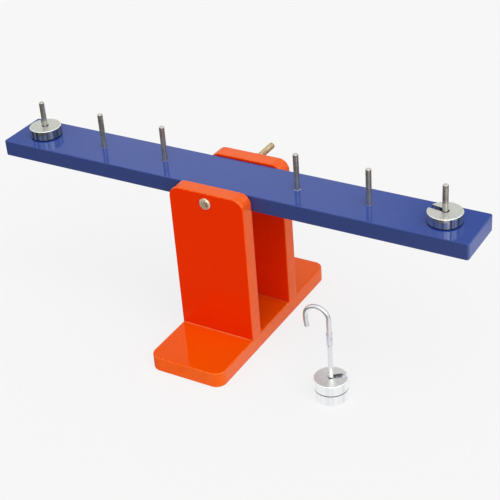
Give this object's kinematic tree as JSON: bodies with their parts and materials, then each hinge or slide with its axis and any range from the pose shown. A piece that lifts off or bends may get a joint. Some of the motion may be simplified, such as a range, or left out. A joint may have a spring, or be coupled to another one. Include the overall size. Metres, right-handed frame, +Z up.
{
  "type": "lever model",
  "caption": "Classroom lever: a blue beam rocks on a bolt between orange uprights and carries steel pegs with slotted weights, beside a hooked weight hanger.",
  "frame": {"origin": "middle of the base board's flat underside, on the table", "axes": "+X along the beam towards the hanger's side, +Y along the pivot from the bolt's head to its tail, +Z up"},
  "size_m": [0.47, 0.2, 0.191],
  "materials": {
    "orange_paint": "gloss enamel paint on board",
    "blue_paint": "gloss enamel paint on board",
    "bright_steel": "turned bright steel",
    "nickel_plate": "nickel plated steel",
    "yellow_zinc": "yellow passivated zinc on steel",
    "zinc_plate": "clear zinc on steel"
  },
  "bodies": {
    "stand": {"base_board": "orange_paint", "front_upright": "orange_paint", "rear_upright": "orange_paint", "upright_screws": "zinc_plate", "pivot_bolt": "yellow_zinc", "pivot_washer": "zinc_plate", "pivot_nut": "yellow_zinc"},
    "beam": {"beam": "blue_paint", "peg_1": "bright_steel", "peg_2": "bright_steel", "peg_3": "bright_steel", "peg_4": "bright_steel", "peg_5": "bright_steel", "peg_6": "bright_steel"},
    "left_weight": {"left_weight": "bright_steel"},
    "right_weight": {"right_weight": "bright_steel"},
    "hanger": {"hanger_base": "nickel_plate", "hanger_rod": "nickel_plate", "hanger_sleeve": "nickel_plate", "hanger_hook": "nickel_plate"},
    "hanger_weight": {"hanger_weight": "nickel_plate"}
  },
  "joints": [
    {"name": "beam_pivot", "type": "hinge", "parent": "stand", "child": "beam", "pos_m": [0, 0, 0.1495], "axis": [0, 1, 0], "range_deg": [-37, 37]},
    {"name": "left_weight_lift", "type": "slide", "parent": "beam", "child": "left_weight", "axis": [0, 0, 1], "range_m": [0, 0.036]},
    {"name": "right_weight_lift", "type": "slide", "parent": "beam", "child": "right_weight", "axis": [0, 0, 1], "range_m": [0, 0.036]},
    {"name": "hanger_lift", "type": "slide", "parent": "stand", "child": "hanger", "axis": [0, 0, 1], "range_m": [0, 0.1]},
    {"name": "hanger_weight_lift", "type": "slide", "parent": "hanger", "child": "hanger_weight", "axis": [0, 0, 1], "range_m": [0, 0.055]}
  ]
}
